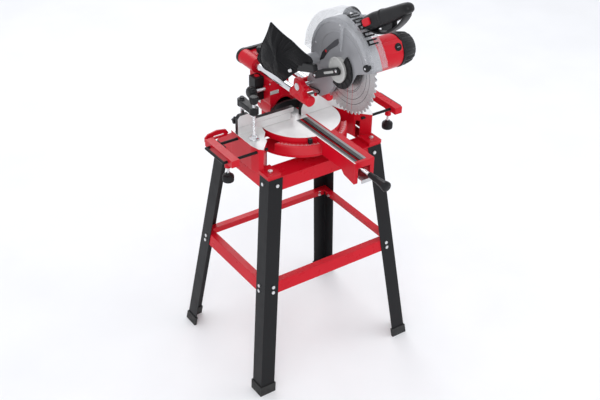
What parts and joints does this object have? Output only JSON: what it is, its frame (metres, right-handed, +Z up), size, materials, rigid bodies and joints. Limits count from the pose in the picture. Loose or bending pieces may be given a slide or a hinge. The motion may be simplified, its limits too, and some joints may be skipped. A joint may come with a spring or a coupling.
{
  "type": "mitre saw on stand",
  "caption": "Sliding compound mitre saw with tilting head, fence, clamp and side supports, bolted to a splayed leg stand",
  "frame": {"origin": "on the floor under the middle of the whole object's box", "axes": "+X to the user's right, +Y to the back, +Z up"},
  "size_m": [0.598, 0.6544, 1.229],
  "materials": {
    "black_paint": "semi-gloss black powder coat",
    "red_paint": "glossy red powder coat",
    "red_casting": "red painted die casting with bare machined faces",
    "bare_casting": "bare machined aluminium",
    "grey_casting": "grey painted die casting",
    "zinc": "bright zinc plate",
    "steel": "ground steel",
    "blade_steel": "ground saw blade",
    "black_plastic": "fine textured black plastic",
    "red_plastic": "smooth red plastic",
    "rubber": "black rubber",
    "clear_plastic": "clear polycarbonate",
    "bag_cloth": "black woven polyester",
    "copper_iron": "laminated core with copper windings"
  },
  "bodies": {
    "stand": {"leg_front_left": "black_paint", "leg_front_right": "black_paint", "leg_rear_left": "black_paint", "leg_rear_right": "black_paint", "foot_caps": "rubber", "long_top_aprons": "red_paint", "side_top_aprons": "red_paint", "long_lower_braces": "red_paint", "side_lower_braces": "red_paint", "stand_bolts_and_nuts": "zinc", "saw_mounting_bolts": "zinc", "saw_base": "red_casting", "mitre_scale": "red_casting", "fixed_fence": "bare_casting", "turntable_pivot": "steel"},
    "turntable": {"turntable": "red_casting", "kerf_plates": "black_plastic", "mitre_pointer": "black_plastic", "bevel_shaft": "steel"},
    "mitre_lock_handle": {"mitre_lock_handle": "black_plastic"},
    "detent_lever": {"detent_lever": "steel"},
    "tilt_unit": {"tilt_column": "red_casting", "laser_battery_box": "black_plastic"},
    "bevel_lock_knob": {"bevel_lock_knob": "black_plastic"},
    "laser_switch": {"laser_switch": "red_plastic"},
    "rail_lock_knob": {"rail_lock_knob": "black_plastic"},
    "carriage": {"carriage": "red_casting", "rails": "steel", "rail_end_cap": "black_plastic", "chop_pivot_pin": "steel"},
    "head": {"head_arm": "grey_casting", "upper_guard": "grey_casting", "arbor_cover": "grey_casting", "motor_housing": "red_plastic", "motor_end_cap": "black_plastic", "handle": "black_plastic", "carry_handle": "black_plastic", "dust_port": "grey_casting", "dust_bag": "bag_cloth"},
    "blade": {"saw_blade": "blade_steel", "arbor": "steel"},
    "armature": {"motor_armature": "copper_iron"},
    "blade_guard": {"blade_guard": "clear_plastic", "guard_lift_knob": "black_plastic"},
    "guard_link": {"guard_link": "black_plastic"},
    "trigger": {"trigger": "black_plastic"},
    "lock_off_button": {"lock_off_button": "red_plastic"},
    "sliding_fence": {"sliding_fence": "bare_casting"},
    "fence_lock_knob": {"fence_lock_knob": "black_plastic"},
    "clamp_post": {"clamp_post": "steel"},
    "clamp_arm": {"clamp_arm": "black_plastic"},
    "clamp_foot": {"clamp_foot": "steel"},
    "clamp_screw": {"clamp_screw": "steel"},
    "extension_left": {"extension_rods_left": "black_paint", "extension_bar_left": "red_casting"},
    "extension_foot_left": {"extension_foot_left": "black_plastic"},
    "length_stop": {"length_stop": "red_paint"},
    "extension_right": {"extension_rods_right": "black_paint", "extension_bar_right": "red_casting"},
    "extension_foot_right": {"extension_foot_right": "black_plastic"}
  },
  "joints": [
    {"name": "mitre_turn", "type": "hinge", "parent": "stand", "child": "turntable", "pos_m": [0, 0.1068, 0.743], "axis": [0, 0, 1], "range_deg": [-45, 45]},
    {"name": "mitre_lock_turn", "type": "hinge", "parent": "turntable", "child": "mitre_lock_handle", "pos_m": [0.012, -0.2272, 0.712], "axis": [0, 1, 0], "range_deg": [0, 360]},
    {"name": "detent_tip", "type": "hinge", "parent": "turntable", "child": "detent_lever", "pos_m": [0.012, -0.0432, 0.6925], "axis": [1, 0, 0], "range_deg": [0, 4], "stiffness_Nm_per_rad": 8, "springref_deg": -2.86},
    {"name": "bevel_tilt", "type": "hinge", "parent": "turntable", "child": "tilt_unit", "pos_m": [0, 0.2078, 0.743], "axis": [0, 1, 0], "range_deg": [-45, 0], "deforming": ["dust_bag"]},
    {"name": "bevel_lock_turn", "type": "hinge", "parent": "tilt_unit", "child": "bevel_lock_knob", "pos_m": [-0.096, 0.2008, 0.805], "axis": [1, 0, 0], "range_deg": [0, 90]},
    {"name": "laser_press", "type": "slide", "parent": "tilt_unit", "child": "laser_switch", "axis": [0, 0, -1], "range_m": [0, 0.0015], "stiffness_N_per_m": 600},
    {"name": "rail_lock_turn", "type": "hinge", "parent": "tilt_unit", "child": "rail_lock_knob", "pos_m": [-0.013, 0.2823, 0.88], "axis": [0, 0, 1], "range_deg": [0, 180]},
    {"name": "rail_slide", "type": "slide", "parent": "tilt_unit", "child": "carriage", "axis": [0, -1, 0], "range_m": [-0.175, 0]},
    {"name": "chop", "type": "hinge", "parent": "carriage", "child": "head", "pos_m": [-0.014, 0.0278, 0.888], "axis": [1, 0, 0], "range_deg": [0, 45], "stiffness_Nm_per_rad": 10, "springref_deg": -126.05, "deforming": ["dust_bag"]},
    {"name": "armature_spin", "type": "hinge", "parent": "head", "child": "armature", "pos_m": [0.1, -0.1022, 0.993], "axis": [1, 0, 0], "continuous": true},
    {"name": "blade_spin", "type": "hinge", "parent": "head", "child": "blade", "pos_m": [0, -0.1022, 0.983], "axis": [1, 0, 0], "continuous": true},
    {"name": "blade_guard_turn", "type": "hinge", "parent": "head", "child": "blade_guard", "pos_m": [0, -0.1022, 0.983], "axis": [-1, 0, 0], "range_deg": [-120, 0]},
    {"name": "guard_link_turn", "type": "hinge", "parent": "head", "child": "guard_link", "pos_m": [-0.038, -0.0202, 0.937], "axis": [-1, 0, 0], "range_deg": [-12, 0]},
    {"name": "trigger_pull", "type": "slide", "parent": "head", "child": "trigger", "axis": [0, 0, 1], "range_m": [0, 0.004], "stiffness_N_per_m": 900},
    {"name": "lock_off_press", "type": "slide", "parent": "head", "child": "lock_off_button", "axis": [1, 0, 0], "range_m": [0, 0.0025], "stiffness_N_per_m": 700},
    {"name": "fence_slide", "type": "slide", "parent": "stand", "child": "sliding_fence", "axis": [-1, 0, 0], "range_m": [0, 0.06]},
    {"name": "fence_lock_turn", "type": "hinge", "parent": "sliding_fence", "child": "fence_lock_knob", "pos_m": [-0.189, 0.1328, 0.775], "axis": [0, 1, 0], "range_deg": [0, 180]},
    {"name": "clamp_lift", "type": "slide", "parent": "stand", "child": "clamp_post", "axis": [0, 0, 1], "range_m": [0, 0.03]},
    {"name": "clamp_swing", "type": "hinge", "parent": "clamp_post", "child": "clamp_arm", "pos_m": [-0.17, 0.1308, 0.83], "axis": [0, 0, 1], "range_deg": [-90, 15]},
    {"name": "clamp_feed", "type": "slide", "parent": "clamp_arm", "child": "clamp_foot", "axis": [0, 0, 1], "range_m": [0, 0.024]},
    {"name": "clamp_screw_turn", "type": "hinge", "parent": "clamp_foot", "child": "clamp_screw", "pos_m": [-0.17, 0.0708, 0.85], "axis": [0, 0, 1], "range_deg": [0, 2880]},
    {"name": "extension_left_slide", "type": "slide", "parent": "stand", "child": "extension_left", "axis": [-1, 0, 0], "range_m": [-0.006, 0.03]},
    {"name": "extension_foot_left_turn", "type": "hinge", "parent": "extension_left", "child": "extension_foot_left", "pos_m": [-0.27, 0.0428, 0.69], "axis": [0, 0, 1], "range_deg": [0, 360]},
    {"name": "length_stop_flip", "type": "hinge", "parent": "extension_left", "child": "length_stop", "pos_m": [-0.268, 0.1408, 0.733], "axis": [0, -1, 0], "range_deg": [0, 90]},
    {"name": "extension_right_slide", "type": "slide", "parent": "stand", "child": "extension_right", "axis": [1, 0, 0], "range_m": [-0.006, 0.03]},
    {"name": "extension_foot_right_turn", "type": "hinge", "parent": "extension_right", "child": "extension_foot_right", "pos_m": [0.27, 0.0428, 0.69], "axis": [0, 0, 1], "range_deg": [0, 360]}
  ],
  "couplings": [
    {"joint": "blade_spin", "follows": "armature_spin", "ratio": -0.25},
    {"joint": "guard_link_turn", "follows": "blade_guard_turn", "ratio": 0.1},
    {"joint": "clamp_screw_turn", "follows": "clamp_feed", "rad_per_m": 2094.4}
  ]
}
